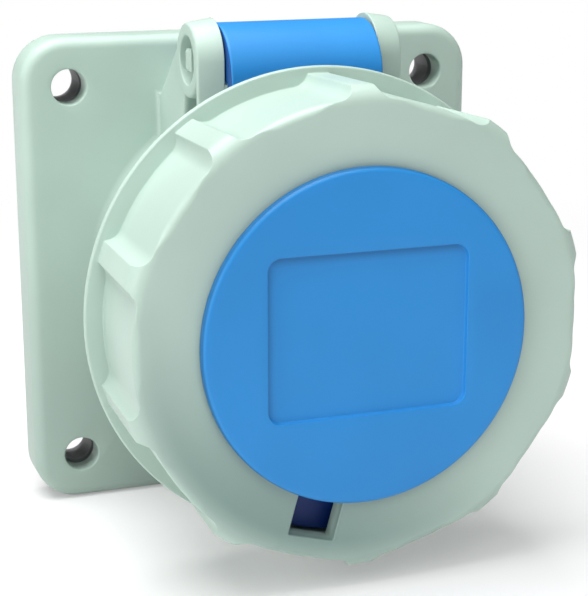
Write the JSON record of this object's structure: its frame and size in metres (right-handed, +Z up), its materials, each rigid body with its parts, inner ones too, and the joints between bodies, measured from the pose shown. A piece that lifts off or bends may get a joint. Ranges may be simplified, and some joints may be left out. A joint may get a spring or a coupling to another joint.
{
  "type": "industrial panel socket",
  "caption": "Square-flanged industrial panel socket: deep collar with sleeve contacts, a hinged sealing lid and a fluted bayonet ring that turns on the lid.",
  "frame": {"origin": "centre of the panel plane: the middle of the four fixing holes at the flange gasket's rear face", "axes": "+Y into the panel along the socket's axis, so the lid faces -Y; +Z up, towards the hinge; +X to the right, seen from the front"},
  "size_m": [0.075, 0.0758, 0.079],
  "materials": {
    "housing_plastic": "fine satin moulded plastic",
    "ring_plastic": "fine satin moulded plastic",
    "pin_plastic": "satin moulded plastic",
    "lid_plastic": "satin moulded plastic",
    "disc_plastic": "satin moulded plastic",
    "lid_rubber": "matte rubber",
    "flange_rubber": "matte rubber",
    "seal_rubber": "matte rubber",
    "carrier_plastic": "satin moulded plastic",
    "contact_brass": "turned brass",
    "clip_steel": "spring steel",
    "screw_steel": "zinc plated steel"
  },
  "bodies": {
    "housing": {"housing_flange": "housing_plastic", "housing_collar": "housing_plastic", "hinge_ear_right": "housing_plastic", "hinge_ear_left": "housing_plastic", "flange_gasket": "flange_rubber", "contact_carrier": "carrier_plastic", "terminal_base": "carrier_plastic", "carrier_seal": "seal_rubber", "base_screws": "screw_steel", "line_contact": "contact_brass", "neutral_contact": "contact_brass", "earth_contact": "contact_brass", "line_clip": "clip_steel", "neutral_clip": "clip_steel", "earth_clip": "clip_steel", "terminal_screws": "screw_steel", "earth_terminal_screw": "screw_steel", "hinge_pin": "pin_plastic"},
    "lid": {"lid_cap": "lid_plastic", "lid_gasket": "lid_rubber", "front_disc": "disc_plastic"},
    "ring": {"bayonet_ring": "ring_plastic"}
  },
  "joints": [
    {"name": "lid_hinge", "type": "hinge", "parent": "housing", "child": "lid", "pos_m": [0, -0.0278, 0.0354], "axis": [-1, 0, 0], "range_deg": [0, 115]},
    {"name": "ring_turn", "type": "hinge", "parent": "lid", "child": "ring", "pos_m": [0, -0.05, 0], "axis": [0, 1, 0], "range_deg": [0, 30]}
  ]
}
